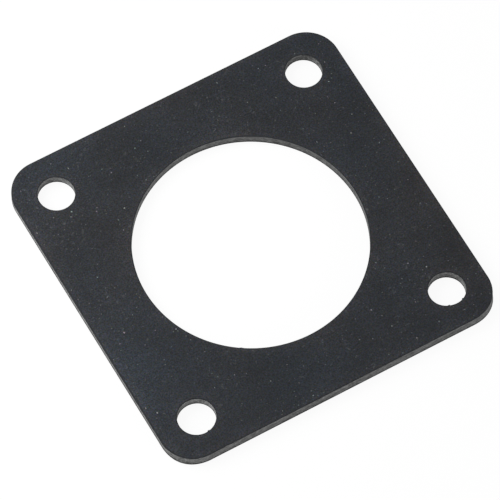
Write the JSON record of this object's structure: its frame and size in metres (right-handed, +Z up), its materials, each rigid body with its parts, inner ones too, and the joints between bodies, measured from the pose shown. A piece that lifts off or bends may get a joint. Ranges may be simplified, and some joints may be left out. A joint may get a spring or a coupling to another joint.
{
  "type": "heating element gasket",
  "caption": "Flat square rubber gasket with rounded corners, a large central bore and corner bolt holes, that seals a flanged heating element to a tank wall.",
  "frame": {"origin": "centre of the bore on the lower face", "axes": "+Z up through the thickness, along the bore axis; +X and +Y along the straight sides"},
  "size_m": [0.078, 0.078, 0.0024],
  "materials": {
    "rubber": "satin calendered sheet faces, matt grey knife-cut edges"
  },
  "bodies": {
    "root": {"gasket": "rubber"}
  },
  "joints": []
}
